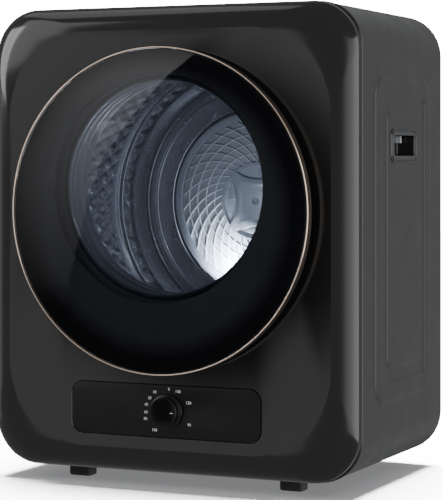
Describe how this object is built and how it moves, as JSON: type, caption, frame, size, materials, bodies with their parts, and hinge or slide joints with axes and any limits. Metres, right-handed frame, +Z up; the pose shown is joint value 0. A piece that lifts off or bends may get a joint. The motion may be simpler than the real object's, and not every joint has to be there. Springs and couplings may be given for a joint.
{
  "type": "clothes dryer",
  "caption": "Compact front-loading clothes dryer with a round tinted door, belt-driven drum, one dial, side grips and a rear exhaust port.",
  "frame": {"origin": "on the floor under the middle of the machine's overall box", "axes": "+Z up, -Y out of the door side, +X to the machine's right seen from the front"},
  "size_m": [0.503, 0.3684, 0.597],
  "materials": {
    "front_moulding": "satin dark grey moulding",
    "cabinet_paint": "fine textured dark grey powder coat",
    "black_plastic": "black moulded plastic",
    "control_plastic": "soft matt black",
    "light_grey_plastic": "light grey moulded plastic",
    "white_plastic": "plain white moulding",
    "rose_metal": "polished rose champagne plating",
    "drum_steel": "brushed stainless steel",
    "zinc_steel": "zinc plated sheet",
    "tinted_glass": "smoked glass with a black printed border",
    "lamp_glass": "frosted clear lens",
    "black_rubber": "matt black rubber",
    "felt": "pressed wool felt",
    "filter_fabric": "fine filter cloth",
    "circuit_board": "coated circuit board",
    "heater": "finned heater element in a tray"
  },
  "bodies": {
    "root": {"front_panel": "front_moulding", "cabinet_shell": "cabinet_paint", "rear_panel": "cabinet_paint", "front_bulkhead": "zinc_steel", "rear_bulkhead": "zinc_steel", "bearing_bridge": "zinc_steel", "door_collar": "light_grey_plastic", "drum_seal_felt": "felt", "drum_bearing": "drum_steel", "air_duct": "black_plastic", "heater_block": "heater", "fan_housing": "black_plastic", "exhaust_port": "black_plastic", "motor_body": "zinc_steel", "motor_bracket": "zinc_steel", "drum_belt": "black_rubber", "idler_bracket": "zinc_steel", "idler_spring": "drum_steel", "hinge_bracket": "zinc_steel", "hinge_pin": "drum_steel", "latch_housing": "black_plastic", "door_switch": "black_plastic", "control_plate": "control_plastic", "timer_body": "white_plastic", "foot_front_left": "black_rubber", "foot_front_right": "black_rubber", "foot_rear_left": "black_rubber", "foot_rear_right": "black_rubber", "side_handle_left": "black_plastic", "side_handle_right": "black_plastic", "lamp_lens": "lamp_glass", "lamp_board": "circuit_board", "cord_gland": "black_plastic", "rear_screw_1": "drum_steel", "rear_screw_2": "drum_steel", "rear_screw_3": "drum_steel", "rear_screw_4": "drum_steel"},
    "drum": {"drum_shell": "drum_steel", "drum_spider": "zinc_steel", "drum_shaft": "drum_steel", "drum_lifter_1": "light_grey_plastic", "drum_lifter_2": "light_grey_plastic", "rear_grille": "light_grey_plastic", "lint_filter": "filter_fabric", "grille_screw": "drum_steel"},
    "motor_rotor": {"motor_shaft": "drum_steel", "motor_pulley": "zinc_steel", "fan_wheel": "light_grey_plastic"},
    "tension_arm": {"idler_arm": "zinc_steel"},
    "idler": {"idler_pulley": "black_plastic"},
    "door": {"door_ring": "rose_metal", "door_glass": "tinted_glass", "door_carrier": "black_plastic", "door_gasket": "black_rubber", "hinge_leaf": "zinc_steel", "latch_hook": "drum_steel"},
    "latch_catch": {"latch_pawl": "light_grey_plastic"},
    "dial": {"timer_knob": "control_plastic", "knob_shaft": "drum_steel"}
  },
  "joints": [
    {"name": "drum_spin", "type": "hinge", "parent": "root", "child": "drum", "pos_m": [0, 0.01925, 0.348], "axis": [0, 1, 0], "continuous": true},
    {"name": "motor_spin", "type": "hinge", "parent": "root", "child": "motor_rotor", "pos_m": [-0.085, 0.01925, 0.075], "axis": [0, 1, 0], "continuous": true},
    {"name": "tension_swing", "type": "hinge", "parent": "root", "child": "tension_arm", "pos_m": [0.085, -0.02075, 0.045], "axis": [0, 1, 0], "range_deg": [0, 8], "stiffness_Nm_per_rad": 2, "springref_deg": -5.73},
    {"name": "idler_spin", "type": "hinge", "parent": "tension_arm", "child": "idler", "pos_m": [0.02, -0.03075, 0.092], "axis": [0, 1, 0], "continuous": true},
    {"name": "door_swing", "type": "hinge", "parent": "root", "child": "door", "pos_m": [-0.196, -0.16825, 0.343], "axis": [0, 0, -1], "range_deg": [0, 105]},
    {"name": "latch_slide", "type": "slide", "parent": "root", "child": "latch_catch", "axis": [1, 0, 0], "range_m": [0, 0.004], "stiffness_N_per_m": 300},
    {"name": "dial_turn", "type": "hinge", "parent": "root", "child": "dial", "pos_m": [0.004, -0.16075, 0.0962], "axis": [0, 1, 0], "range_deg": [-160, 160]}
  ],
  "couplings": [
    {"joint": "motor_spin", "follows": "drum_spin", "ratio": 17.742},
    {"joint": "idler_spin", "follows": "drum_spin", "ratio": 13.474}
  ]
}
